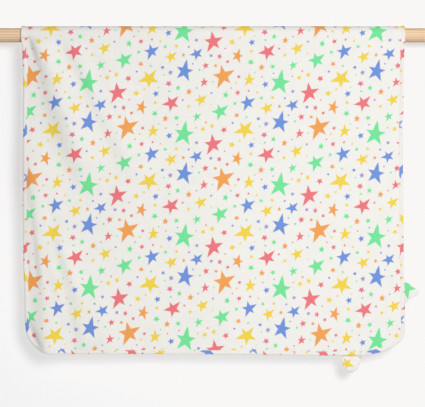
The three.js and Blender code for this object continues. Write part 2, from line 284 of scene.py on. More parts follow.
def seam_reach(v, front_corner):
    """Half the seam line's width at a place up the cut: a quarter curve at each corner."""
    from_front = v - SEAM_INSET
    from_rear = CUT_LENGTH - SEAM_INSET - v
    at_front = from_front < from_rear
    along = np.where(at_front, front_corner[0], REAR_CORNER[0]) - SEAM_INSET
    up = np.where(at_front, front_corner[1], REAR_CORNER[1]) - SEAM_INSET
    share = np.clip(np.minimum(from_front, from_rear) / up, 0, 1)
    return HALF_SEAM_WIDTH - along * (1 - np.sqrt(1 - (1 - share) ** 2))


def row_places():
    """How far up the cut the blanket's rows lie: closer round the corners and over the rod."""
    corner_up = max(FRONT_CORNER[1], HOOD_CORNER[1]) - SEAM_INSET
    rear_up = REAR_CORNER[1] - SEAM_INSET
    turns = np.linspace(0, math.pi / 2, CORNER_ROWS + 1)
    past_rod = FRONT_DROP + OVER_ROD
    rear_start = CUT_LENGTH - SEAM_INSET - rear_up
    flap_top = SEAM_INSET + corner_up
    flap_rows = round((FRONT_DROP - flap_top) / FLAP_ROW)
    rear_rows = round((rear_start - past_rod) / REAR_ROW)
    return np.concatenate([
        SEAM_INSET + corner_up * (1 - np.cos(turns)),
        np.linspace(flap_top, FRONT_DROP, flap_rows + 1)[1:],
        np.linspace(FRONT_DROP, past_rod, OVER_ROD_ROWS + 1)[1:],
        np.linspace(past_rod, rear_start, rear_rows + 1)[1:],
        CUT_LENGTH - SEAM_INSET - rear_up * (1 - np.sin(turns[1:])),
    ])


def outward_ways(points):
    """The outward way at each point of a closed line that runs counter-clockwise."""
    ahead = np.roll(points, -1, 0) - np.roll(points, 1, 0)
    ahead /= np.linalg.norm(ahead, axis=1, keepdims=True)
    return np.stack([ahead[:, 1], -ahead[:, 0]], 1)


def seam_outline(step):
    """The binding's seam line on the flat cut, in even steps, from the hem's right end
    counter-clockwise.

    Gives the points, the outward way at each and how far along the line each is."""
    fine = row_places()
    right = np.stack([seam_reach(fine, HOOD_CORNER), fine], 1)
    left = np.stack([-seam_reach(fine, FRONT_CORNER), fine], 1)[::-1]
    corners = np.concatenate([right, left, right[:1]])
    lengths = np.concatenate([[0], np.cumsum(np.linalg.norm(np.diff(corners, axis=0), axis=1))])
    count = round(lengths[-1] / step)
    along = np.arange(count) * lengths[-1] / count
    points = np.stack([np.interp(along, lengths, corners[:, i]) for i in (0, 1)], 1)
    return points, outward_ways(points), along, lengths[-1]


def waver(along, spacing, seed):
    """An uneven wave along a seam, from -1 to 1."""
    turn = 2 * math.pi * along / spacing
    return 0.6 * np.sin(turn + 1.9 * np.sin(turn / 6.3 + seed)) + 0.4 * np.sin(turn * 0.41 + seed)


SEAM_STEP = 2.0
seam_points, _, seam_along, _ = seam_outline(SEAM_STEP)
seam_tree = KDTree(len(seam_points))
for index, (across, up) in enumerate(seam_points):
    seam_tree.insert((across, up, 0), index)
seam_tree.balance()


def nearest_on_seam(points):
    """How far points of the flat cut are from the seam line, and how far along it the nearest is."""
    found = [seam_tree.find((x, y, 0)) for x, y in points]
    return np.array([hit[2] for hit in found]), seam_along[[hit[1] for hit in found]]


def pucker(points):
    """How the edge seam draws the cloth up and down beside it, at points of the flat cut."""
    distance, along = nearest_on_seam(points)
    lumps = waver(along, PUCKER_SPACING, PUCKER_SEED)
    return PUCKER_HEIGHT * lumps * np.exp(-distance / PUCKER_REACH)


def cockle(points):
    """Shallow unevenness of washed jersey, in millimetres: never into the rod."""
    u, v = points[:, 0], points[:, 1]
    slow = np.sin(u / 31 + 1.3 * np.sin(v / 57)) * np.sin(v / 43 + 1.1 * np.sin(u / 39 + 2))
    quick = np.sin(u / 13.7 + 2 * np.sin(v / 29 + 1)) * np.sin(v / 17.3 + 1.7 * np.sin(u / 23))
    off_rod = 1 - np.exp(-(((v - FRONT_DROP - OVER_ROD / 2) / FLAT_BESIDE_ROD) ** 2))
    slacker = COCKLE_ON_RIGHT + COCKLE_MORE_ON_LEFT * (1 - eased(u, *SLACKENS_ACROSS))
    uneven = COCKLE_SLOW * (slow + 1) + COCKLE_QUICK * (quick + 1)
    creased = fold_height(FINE_CREASES, u, np.maximum(FRONT_DROP - v, 0))
    return off_rod * slacker * uneven + np.where(v < FRONT_DROP, creased, 0)


def linear(colour):
    """An sRGB hex colour as linear red, green, blue and alpha."""
    parts = [int(colour[i : i + 2], 16) / 255 for i in (1, 3, 5)]
    return [c / 12.92 if c <= 0.04045 else ((c + 0.055) / 1.055) ** 2.4 for c in parts] + [1.0]


def edge_angle(notch):
    """The direction of the normal of a star's edge beside its point, for a notch depth."""
    fifth = math.pi / 5
    return math.atan2(1 - notch * math.cos(fifth), notch * math.sin(fifth))


def drawn_in(way, turn, uneven):
    """How much a star is drawn in along each way from its first arm, so that its arms differ."""
    return 1 + uneven * (np.cos(2 * way + 5 * turn) + 0.6 * np.cos(3 * way - 4 * turn))


def star_corners(x, y, radius, notch, turn, uneven):
    """Points round a star's outline: its arms' ends, its notches and half way between."""
    ways = np.arange(20) * math.pi / 10
    half_way = np.abs(1 + notch * np.exp(1j * math.pi / 5)) / 2
    reach = radius * np.array([1, half_way, notch, half_way] * 5) / drawn_in(ways, turn, uneven)
    return np.stack([x + reach * np.cos(turn + ways), y + reach * np.sin(turn + ways)], 1)


def apart(away):
    """How far apart two places of the half-drop repeat are at their nearest."""
    columns = np.round(away[..., 0] / REPEAT_WIDTH)
    across = away[..., 0] - columns * REPEAT_WIDTH
    up = away[..., 1] - columns * REPEAT_HEIGHT / 2
    return np.hypot(across, up - REPEAT_HEIGHT * np.round(up / REPEAT_HEIGHT))


def toss_stars():
    """One repeat of the print: each star where it has the most room among random places."""
    chance = np.random.default_rng(PRINT_SEED)
    stars, outlines, owners = [], np.empty((0, 2)), np.empty(0, int)
    for radius, notch, colours in STAR_SIZES:
        uneven = STAR_UNEVEN if notch == STAR_NOTCH else STAR_UNEVEN / 2
        for colour in colours:
            dye = int(colour[1:], 16)
            best, best_room = None, -math.inf
            for _ in range(TRIES_PER_STAR):
                x, y = chance.uniform(0, REPEAT_WIDTH), chance.uniform(0, REPEAT_HEIGHT)
                turn = chance.uniform(0, 2 * math.pi / 5)
                corners = star_corners(x, y, radius, notch, turn, uneven)
                if not stars:
                    best = (x, y, turn, corners)
                    break
                gaps = apart(outlines[:, None] - corners[None]).min(axis=1)
                from_middle = apart(outlines - np.array([x, y]))
                room = np.minimum(gaps, from_middle - radius * STAR_BODY).min()
                alike = gaps[owners == dye]
                if room > LEAST_GAP and len(alike):
                    room = min(room, LEAST_GAP + alike.min() * ALIKE_COUNTS)
                if room > best_room:
                    best, best_room = (x, y, turn, corners), room
                if radius < SMALL_STAR and room > LEAST_GAP * ROOM_ENOUGH:
                    break
            if stars and best_room < LEAST_GAP * ROOM_NEEDED:
                continue
            x, y, turn, corners = best
            stars.append((x, y, turn, radius, edge_angle(notch), uneven, colour))
            outlines = np.concatenate([outlines, corners])
            owners = np.concatenate([owners, np.full(len(corners), dye)])
    return stars


STARS = toss_stars()


def cut_over_star(flat, colour, radius, place, arm_way):
    """Where points of a cut lie on the print if a star is to lie at a place of it, one arm pointing
    a way."""
    alike = [star for star in STARS if star[3] == radius and star[-1] == colour]
    x, y, turn = alike[0][:3]
    swing = turn - math.radians(arm_way)
    away = (flat - np.array(place)) @ np.array([
        [math.cos(swing), math.sin(swing)],
        [-math.sin(swing), math.cos(swing)],
    ])
    return away + np.array([x, y])


# What a face has until a star touches it, and how far past a piece stars are looked for
NO_STAR_PLACE = (-9.0, -9.0, 0.0)
NO_STAR_SHAPE = (0.0005, 0.6, 0.0)
PRINT_MARGIN = 30


def print_stars(mesh, corner_places):
    """Gives each face the star that touches it, from the four places of its corners on the print.

    The material then draws that star's true outline from the piece's own flat map."""
    layer = mesh.uv_layers.new(name="flat_cut")
    layer.uv.foreach_set("vector", (corner_places * MM).astype(np.float32).ravel())
    centres = corner_places.mean(axis=1)
    spread = np.linalg.norm(corner_places - centres[:, None], axis=2).max(axis=1)
    widest = float(np.percentile(spread, 99.5))
    tree = KDTree(len(centres))
    for face, (x, y) in enumerate(centres):
        tree.insert((x, y, 0), face)
    tree.balance()
    nearest = np.full(len(centres), math.inf)
    place = np.tile(np.array(NO_STAR_PLACE, np.float32), (len(centres), 1))
    shape = np.tile(np.array(NO_STAR_SHAPE, np.float32), (len(centres), 1))
    tint = np.ones((len(centres), 4), np.float32)
    low, high = centres.min(axis=0) - PRINT_MARGIN, centres.max(axis=0) + PRINT_MARGIN
    repeat = np.array([REPEAT_WIDTH, REPEAT_HEIGHT])
    first = np.floor(low / repeat).astype(int) - np.array([1, 2])
    last = np.ceil(high / repeat).astype(int)
    for i in range(first[0], last[0] + 1):
        for j in range(first[1], last[1] + 1):
            for x, y, turn, radius, slant, uneven, colour in STARS:
                at = np.array([x + i * REPEAT_WIDTH, y + (j + (i % 2) / 2) * REPEAT_HEIGHT])
                if (at < low).any() or (at > high).any():
                    continue
                reach = radius * (1 + 2 * uneven) + widest
                faces = np.array([f[1] for f in tree.find_range((at[0], at[1], 0), reach)], int)
                if not len(faces):
                    continue
                away = centres[faces] - at
                angle = np.arctan2(away[:, 1], away[:, 0]) - turn
                folded = np.abs((angle + math.pi / 5) % (2 * math.pi / 5) - math.pi / 5)
                distance = np.linalg.norm(away, axis=1) * drawn_in(angle, turn, uneven)
                gap = distance - radius * math.cos(slant) / np.cos(folded - slant)
                won = faces[gap < nearest[faces]]
                nearest[won] = gap[gap < nearest[faces]]
                place[won] = (at[0] * MM, at[1] * MM, turn)
                shape[won] = (radius * MM, slant, uneven)
                tint[won] = linear(colour)
    for name, kind, values in (
        ("star_place", "FLOAT_VECTOR", place),
        ("star_shape", "FLOAT_VECTOR", shape),
        ("star_colour", "FLOAT_COLOR", tint),
    ):
        made = mesh.attributes.new(name, kind, "FACE")
        made.data.foreach_set("color" if kind == "FLOAT_COLOR" else "vector", values.ravel())


def place_in_scene(name, data):
    """A new object at the origin, made of a mesh, light or camera."""
    made = bpy.data.objects.new(name, data)
    bpy.context.scene.collection.objects.link(made)
    return made


def make_piece(name, vertices, faces, material):
    """A smooth object from points in millimetres, standing at the origin."""
    mesh = bpy.data.meshes.new(name)
    mesh.from_pydata((np.asarray(vertices) * MM).tolist(), [], [list(map(int, f)) for f in faces])
    mesh.shade_smooth()
    mesh.materials.append(material)
    mesh.update()
    return place_in_scene(name, mesh)


def grid_cells(rows, columns):
    """The four-sided faces of a grid of points."""
    at = (np.arange(rows - 1)[:, None] * columns + np.arange(columns - 1)).ravel()
    return np.stack([at, at + 1, at + columns + 1, at + columns], 1)


def grid_rim(rows, columns):
    """The points round a grid's edge, in the way that its faces run."""
    last = (rows - 1) * columns
    return np.concatenate([
        np.arange(columns - 1),
        np.arange(rows - 1) * columns + columns - 1,
        last + np.arange(columns - 1, 0, -1),
        np.arange(rows - 1, 0, -1) * columns,
    ])


def closed_sheet(flat, high, low, cells, rim):
    """Points and faces of cloth between two heights: its outer face, its inner one and its edge."""
    count = len(flat)
    after = np.roll(rim, -1)
    edge = np.stack([rim, count + rim, count + after, after], 1)
    points = np.concatenate([off_cloth(flat, high), off_cloth(flat, low)])
    return points, np.concatenate([cells, cells[:, ::-1] + count, edge])


# Where the cloth's inner face lies on the print, mirrored
INNER_FACE_PRINT = (70, 55)


def make_blanket(material):
    """The blanket's body: two faces of the flat cut and the edge that the binding hides."""
    places_up = row_places()
    creased = np.linspace(0, CREASED_SHARE, CREASED_COLUMNS + 1)
    shares = np.concatenate([creased, np.linspace(CREASED_SHARE, 1, PLAIN_COLUMNS + 1)[1:]])
    left = -seam_reach(places_up, FRONT_CORNER)
    right = seam_reach(places_up, HOOD_CORNER)
    across = left[:, None] + (right - left)[:, None] * shares
    flat = np.stack([across, np.broadcast_to(places_up[:, None], across.shape)], -1).reshape(-1, 2)
    rows, columns = across.shape
    cells = grid_cells(rows, columns)
    rim = grid_rim(rows, columns)
    raised = pucker(flat) + cockle(flat)
    half = HALF_CLOTH - DRAWN_IN * np.exp(-nearest_on_seam(flat)[0] / DRAWN_IN_REACH)
    # Two bands more run on into the binding
    for _ in range(2):
        outer = flat[rim] + outward_ways(flat[rim]) * BINDING_BITE / 2
        new_rim = len(flat) + np.arange(len(rim))
        band = np.stack([rim, new_rim, np.roll(new_rim, -1), np.roll(rim, -1)], 1)
        cells = np.concatenate([cells, band])
        raised = np.concatenate([raised, raised[rim]])
        half = np.concatenate([half, np.full(len(rim), HALF_CLOTH - DRAWN_IN)])
        flat = np.concatenate([flat, outer])
        rim = new_rim
    points, faces = closed_sheet(flat, raised + half, raised - half, cells, rim)
    piece = make_piece("blanket", points, faces, material)
    inside = flat * np.array([-1, 1]) + np.array(INNER_FACE_PRINT)
    both = np.concatenate([flat, inside])
    two_sided, edge = faces[: 2 * len(cells)], faces[2 * len(cells) :]
    print_stars(piece.data, np.concatenate([both[two_sided], flat[edge % len(flat)]]))
    return piece


# Half the binding's section, from its inner edge on the front to the blanket's edge: how far out
# from the seam line, and how high off the cloth's middle. The rear half mirrors it
BINDING_SECTION = [
    (0.40, 1.20),
    (0.42, 1.44),
    (0.70, 1.72),
    (1.30, 1.88),
    (1.75, 1.80),
    (2.30, 1.94),
    (3.40, 2.18),
    (5.00, 2.32),
    (6.80, 2.24),
    (7.90, 1.80),
    (8.36, 1.00),
    (8.49, 0.00),
]
SLOT_START = 0.6
SLOT_END = BINDING_BITE + SEAM_GAP
SLOT_FACE = 1.26
# The strip is uneven from its stitches outwards: how much it swells between puckers, and how much
# its outer edge waves, slowly and with the puckers
UNEVEN_FROM = 1.0
UNEVEN_OVER = 7
STRIP_SWELL = 0.16
EDGE_WAVE = 0.22
EDGE_WAVE_SPACING = 61.0
EDGE_WAVE_SEED = 4.0
EDGE_PUCKER = 0.1
# How far from the rod's top the bound edge is pressed thin, and where it is no longer
PRESSED_TO = 32
UNPRESSED_FROM = 62
# The rear of the strip swells over the hood's edge, between two places across and up the cut
OVER_HOOD_SWELL = 2.1
OVER_HOOD_FROM = (78, 96)
OVER_HOOD_TO = (276, 300)
# Where the strip lies on the printed cloth that it was cut from
BINDING_PRINT = (31.0, 88.0)


def pressed(points):
    """How thin the bound edge is pressed where it crosses the rod."""
    from_rod = np.abs(points[:, 1] - FRONT_DROP - OVER_ROD / 2)
    return PRESSED_ON_ROD + (1 - PRESSED_ON_ROD) * eased(from_rod, PRESSED_TO, UNPRESSED_FROM)


def rear_extra(points):
    """How much the binding's rear swells where it also holds the hood's edge."""
    over_hood = eased(points[:, 0], *OVER_HOOD_FROM) * (1 - eased(points[:, 1], *OVER_HOOD_TO))
    return OVER_HOOD_SWELL * over_hood


def make_binding(material):
    """The strip that is folded over the whole edge, swept round the seam line."""
    points, ways, along, length = seam_outline(BINDING_STATION)
    strip = BINDING_SECTION + [(out, -height) for out, height in reversed(BINDING_SECTION[:-1])]
    slot = [
        (SLOT_START, -SLOT_FACE),
        (SLOT_END, -SLOT_FACE),
        (SLOT_END, SLOT_FACE),
        (SLOT_START, SLOT_FACE),
    ]
    section = strip + slot
    steps = np.linalg.norm(np.diff(np.array(section), axis=0), axis=1)
    across_strip = np.concatenate([[0], np.cumsum(steps)])
    lumps = waver(along, PUCKER_SPACING, PUCKER_SEED)
    edge_wave = waver(along, EDGE_WAVE_SPACING, EDGE_WAVE_SEED)
    raised = pucker(points) + cockle(points)
    rings = []
    for out, height in strip:
        share = min(max((out - UNEVEN_FROM) / UNEVEN_OVER, 0), 1)
        wide = EDGE_WAVE * share * edge_wave + EDGE_PUCKER * share * lumps
        at = points + ways * (out + wide)[:, None]
        side = 1 if height >= 0 else -1
        swell = STRIP_SWELL * np.sin(math.pi * share) * lumps
        lift = (height + side * swell) * pressed(points)
        if height < -1:
            lift = lift - rear_extra(points)
        rings.append(off_cloth(at, raised + lift))
    for out, height in slot:
        at = points + ways * out
        rings.append(off_cloth(at, raised + height))
    vertices = np.stack(rings, 1).reshape(-1, 3)
    sides = len(section)
    here = np.arange(len(points))[:, None] * sides + np.arange(sides)
    there = np.roll(here, -1, 0)
    beside = np.roll(here, -1, 1)
    across = np.roll(there, -1, 1)
    faces = np.stack([here, beside, across, there], -1).reshape(-1, 4)
    piece = make_piece("binding", vertices, faces, material)
    low = np.broadcast_to(across_strip, (len(points), sides))
    high = np.broadcast_to(np.append(across_strip[1:], across_strip[-1] + 1), (len(points), sides))
    start = np.broadcast_to(along[:, None], low.shape)
    end = np.broadcast_to(np.append(along[1:], length)[:, None], low.shape)
    corners = ((start, low), (start, high), (end, high), (end, low))
    places = np.stack([np.stack(corner, -1) for corner in corners], 2).reshape(-1, 4, 2)
    print_stars(piece.data, places + np.array(BINDING_PRINT))
    return piece


# The hood's hem is a second layer with a line of stitches drawn in, and ripples at the mouth
HOOD_STATION = 4.0
HOOD_CLOTH = 1.5
HOOD_HEM = 11.0
HEM_PLY = 0.8
HEM_STITCH_INSET = 2.2
HEM_DENT = 0.45
HEM_DENT_REACH = 1.3
HEM_THREAD_OFF = 0.02
# The stitches end where the hood is narrower than this many hems
HEM_ROOM = 1.6
HOOD_WAVE = 0.9
HOOD_RIPPLE = 0.4
HOOD_RIPPLES = 24
HOOD_RIPPLE_REACH = 16
HOOD_RIPPLE_SEED = 2.0
LINING_PRINT = (40, 120)
SHELL_PRINT = (20, 150)


def hood_back(along, towards, to_mouth):
    """How high off the cloth's middle the hood's inner face lies, below zero as it is behind it."""
    rise = np.sin(towards * math.pi / 2) ** SWELL_TO_MOUTH
    belly = np.sin(np.clip(along, 0, 1) * math.pi) ** SWELL_ALONG_MOUTH
    behind = -HALF_CLOTH - HOOD_OFF_CLOTH - HOOD_GAPE * rise * belly
    wave = HOOD_WAVE * np.sin(along * 9 + 1) * np.sin(towards * 4.2) * np.sin(along * math.pi)
    ripple = HOOD_RIPPLE * waver(along, 1 / HOOD_RIPPLES, HOOD_RIPPLE_SEED)
    ripple *= np.exp(-to_mouth / HOOD_RIPPLE_REACH)
    ripple *= eased(along, 0, 0.06) * (1 - eased(along, 0.94, 1))
    return behind - np.abs(wave) + ripple


def hood_patch():
    """The hood on the flat cut: its outer side on the seam line, its straight mouth, and how far
    along them each pair of points is."""
    points = seam_outline(HOOD_STATION)[0]
    reach = CUT_WIDTH / 2 - HOOD_LEG
    side = points[(points[:, 0] >= reach) & (points[:, 1] <= HOOD_LEG)]
    # The outline starts at the corner, so the hem's stretch of it is brought to the front
    side = np.roll(side, -int(side[:, 0].argmin()), axis=0)
    last = len(side) - 1
    start = side[0] + np.array([0, HOOD_END])
    end = side[last] + np.array([-HOOD_END, 0])
    along = np.arange(last + 1) / last
    mouth = start + (end - start) * along[:, None]
    return side, mouth, along


def make_hood(material):
    """The hood: sewn in with the edge, and open along its hemmed mouth."""
    side, mouth, along = hood_patch()
    depth = np.linspace(0, 1, HOOD_ROWS + 1)
    flat = side + (mouth - side) * depth[:, None, None]
    rows, columns = flat.shape[:2]
    flat = flat.reshape(-1, 2)
    towards = np.repeat(depth, columns)
    to_mouth = np.tile(np.linalg.norm(mouth - side, axis=1), rows) * (1 - towards)
    back = hood_back(np.tile(along, rows), towards, to_mouth)
    in_hem = 1 - eased(to_mouth, HOOD_HEM - 1.5, HOOD_HEM + 1.0)
    from_stitches = to_mouth - HOOD_HEM + HEM_STITCH_INSET
    at_stitches = HEM_DENT * np.exp(-((from_stitches / HEM_DENT_REACH) ** 2))
    thick = HOOD_CLOTH + HEM_PLY * in_hem - at_stitches
    cells, rim = grid_cells(rows, columns), grid_rim(rows, columns)
    points, faces = closed_sheet(flat, back, back - thick, cells, rim)
    piece = make_piece("hood_cloth", points, faces, material)
    lining = flat + np.array(LINING_PRINT)
    shell = flat * np.array([-1, 1]) + np.array(SHELL_PRINT)
    print_stars(piece.data, np.concatenate([lining, shell])[faces])
    return piece


def hood_hem_line():
    """The hood hem's stitch line, on its outside."""
    side, mouth, along = hood_patch()
    reach = np.linalg.norm(mouth - side, axis=1)
    keep = reach > HOOD_HEM * HEM_ROOM
    side, mouth, along, reach = side[keep], mouth[keep], along[keep], reach[keep]
    share = 1 - (HOOD_HEM - HEM_STITCH_INSET) / reach
    flat = side + (mouth - side) * share[:, None]
    thick = HOOD_CLOTH + HEM_PLY - HEM_DENT + HEM_THREAD_OFF
    back = hood_back(along, share, reach * (1 - share))
    return off_cloth(flat, back - thick)


# The ears: outline close to the source's, how far the padding swells each side, and the star that
# each shows: its colour, radius, place on the cut and the way that one arm points
EARS = {
    "ear_bottom": dict(
        edge="hem", middle=269.2, width=37.4, reach=33.3, blunt=3.3, power=0.5, lean=-1, swell=3.4,
        star=(YELLOW, 13.0, (260.5, -15.5), -25),
    ),
    "ear_side": dict(
        edge="side", middle=124, width=40, reach=28.7, blunt=1.4, power=0.66, lean=-3, swell=2.9,
        star=(GREEN, 23.0, (377.5, 130.5), -8),
    ),
}
EAR_ROWS = 34
EAR_COLUMNS = 32
# The rows lie closer towards the tip and end just short of it
EAR_TIP = 0.996
EAR_ROW_SPREAD = 1.15
EAR_PLY = 0.75
# Along the ear, where its filling starts and where it is full
EAR_FILLS = (0.12, 0.62)
EAR_GATHERS = 9
EAR_GATHER_HEIGHT = 0.5
# How far behind the cloth's middle the root lies, past a gap and half its thickness, and how far
# the filling brings the ear forward
EAR_BEHIND = BINDING_FACE + 0.45 + 1.4
EAR_FORWARD = 1.3
# In the mouth of the binding the ear is pressed flat, and it thickens from there
EAR_PRESSED = 1.25
EAR_PRESSED_TO = 0.16
EAR_THICKENS = 30


def make_ear(name, form, material):
    """An ear: two printed layers, seamed round, turned and softly filled."""
    on_hem = form["edge"] == "hem"
    length = EAR_ROOT + form["reach"]
    t = np.sin(np.linspace(0, EAR_TIP, EAR_ROWS + 1) * math.pi / 2) ** EAR_ROW_SPREAD * EAR_TIP
    side = np.sin(np.linspace(-1, 1, EAR_COLUMNS + 1) * math.pi / 2)
    half_width = form["width"] / 2 * (1 - t ** form["blunt"]) ** form["power"]
    along = form["middle"] + half_width[:, None] * side + (form["lean"] * t * t)[:, None]
    out = np.broadcast_to((t * length - EAR_ROOT)[:, None], along.shape)
    if on_hem:
        flat = np.stack([along, -out], -1)[:, ::-1]
    else:
        flat = np.stack([CUT_WIDTH / 2 + out, along], -1)
    rows, columns = flat.shape[:2]
    flat = flat.reshape(-1, 2)
    fill_up = eased(t, *EAR_FILLS) * np.sqrt(np.clip(1 - t**5, 0, 1))
    crown = np.sqrt(np.clip(1 - side**2, 0, 1))
    swell = form["swell"] * fill_up[:, None] * crown**0.85
    round_tip = np.arctan2(side[None] * 1.2, 1.05 - t[:, None])
    gathers = np.sin(round_tip * EAR_GATHERS + 0.7) * (1 - crown) * EAR_GATHER_HEIGHT
    half = EAR_PLY + swell + gathers * fill_up[:, None]
    past_mouth = np.clip(t - EAR_PRESSED_TO, 0, 1)[:, None]
    half = np.minimum(half, EAR_PRESSED + EAR_THICKENS * past_mouth**1.1)
    half = half[:, ::-1].ravel() if on_hem else half.ravel()
    middle = np.repeat(-EAR_BEHIND + EAR_FORWARD * fill_up, columns)
    cells, rim = grid_cells(rows, columns), grid_rim(rows, columns)
    points, faces = closed_sheet(flat, middle + half, middle - half, cells, rim)
    # The faces are turned outwards, whichever way the rows and columns run
    first = points[cells[columns * 4]]
    facing = np.cross(first[1] - first[0], first[2] - first[0])
    if facing[1] > 0:
        faces = faces[:, ::-1]
    piece = make_piece(name + "_pad", points, faces, material)
    both = np.concatenate([cut_over_star(flat, *form["star"]), flat * np.array([-1, 1])])
    print_stars(piece.data, both[faces])
    return piece


ROD_ROUNDING = 1.1
ROD_SIDES = 96
ROD_STATIONS = 61
ROD_END_RINGS = (4.0, 9.0)


def make_dowel(material):
    """The rod: turned on a finer step than its solid, its ends sanded off."""
    half = ROD_LENGTH / 2
    left_end = [(-half, radius) for radius in ROD_END_RINGS]
    for turn in np.linspace(0, math.pi / 2, 5):
        inward = ROD_ROUNDING * (1 - math.cos(turn))
        left_end.append((-half + inward, ROD_RADIUS - ROD_ROUNDING * (1 - math.sin(turn))))
    profile = left_end + [(x, ROD_RADIUS) for x in np.linspace(-half, half, ROD_STATIONS)[1:-1]]
    profile += [(-x, radius) for x, radius in reversed(left_end)]
    turns = np.arange(ROD_SIDES) * 2 * math.pi / ROD_SIDES
    rings = [
        np.stack([np.full(ROD_SIDES, x), radius * np.cos(turns), radius * np.sin(turns)], 1)
        for x, radius in profile
    ]
    vertices = np.concatenate(rings + [np.array([[-half, 0, 0], [half, 0, 0]])])
    faces = []
    for i in range(len(profile) - 1):
        near, far = i * ROD_SIDES, (i + 1) * ROD_SIDES
        for k in range(ROD_SIDES):
            after = (k + 1) % ROD_SIDES
            faces.append([far + k, far + after, near + after, near + k])
    last = (len(profile) - 1) * ROD_SIDES
    pole = len(profile) * ROD_SIDES
    for k in range(ROD_SIDES):
        after = (k + 1) % ROD_SIDES
        faces.append([k, after, pole])
        faces.append([last + after, last + k, pole + 1])
    return make_piece("dowel", vertices, faces, material)


def add(tree, kind, feeds=(), **settings):
    """Adds a node: settings are its own, and feeds its inputs, by values or other nodes' outputs."""
    node = tree.nodes.new(kind)
    for name, value in settings.items():
        setattr(node, name, value)
    for name, value in dict(feeds).items():
        if isinstance(value, bpy.types.NodeSocket):
            tree.links.new(value, node.inputs[name])
        else:
            node.inputs[name].default_value = value
    return node


def maths_in(tree):
    """A function that adds a maths node to a tree and gives its result."""

    def maths(operation, a, b=0.0, c=0.0):
        return add(tree, "ShaderNodeMath", {0: a, 1: b, 2: c}, operation=operation).outputs[0]

    return maths


def new_material(name):
    """A material with its node tree, its shader and its output."""
    material = bpy.data.materials.new(name)
    material.use_nodes = True
    tree = material.node_tree
    tree.nodes.clear()
    shader = add(tree, "ShaderNodeBsdfPrincipled")
    out = add(tree, "ShaderNodeOutputMaterial", {"Surface": shader.outputs[0]})
    return material, tree, shader, out


def finish_surface(tree, shader, colour, roughness, relief, strength, depth):
    """Gives a shader its colour, roughness and small relief."""
    tree.links.new(colour, shader.inputs["Base Color"])
    shader.inputs["Roughness"].default_value = roughness
    feeds = {"Height": relief, "Strength": strength, "Distance": depth}
    tree.links.new(add(tree, "ShaderNodeBump", feeds).outputs[0], shader.inputs["Normal"])


def noise_in(tree, vector, scale, detail, **settings):
    feeds = {"Vector": vector, "Scale": scale, "Detail": detail}
    return add(tree, "ShaderNodeTexNoise", feeds, **settings).outputs["Fac"]


def ramp(tree, value, stops):
    """A colour from a value, by stops of places and colours."""
    node = add(tree, "ShaderNodeValToRGB", {"Fac": value})
    for index, (place, colour) in enumerate(stops):
        stop = node.color_ramp.elements[index] if index < 2 else node.color_ramp.elements.new(place)
        stop.position = place
        stop.color = linear(colour)
    return node.outputs["Color"]


WALE_SPACING_MM = 2.4
COURSE_SPACING_MM = 2.0
PRINT_BLUR_MM = 0.62
PRINT_WOBBLE_MM = 0.7
# Sockets of a colour mix node, whose names it has more than once
MIX_SHARE, MIX_FIRST, MIX_SECOND, MIX_RESULT = 0, 6, 7, 2


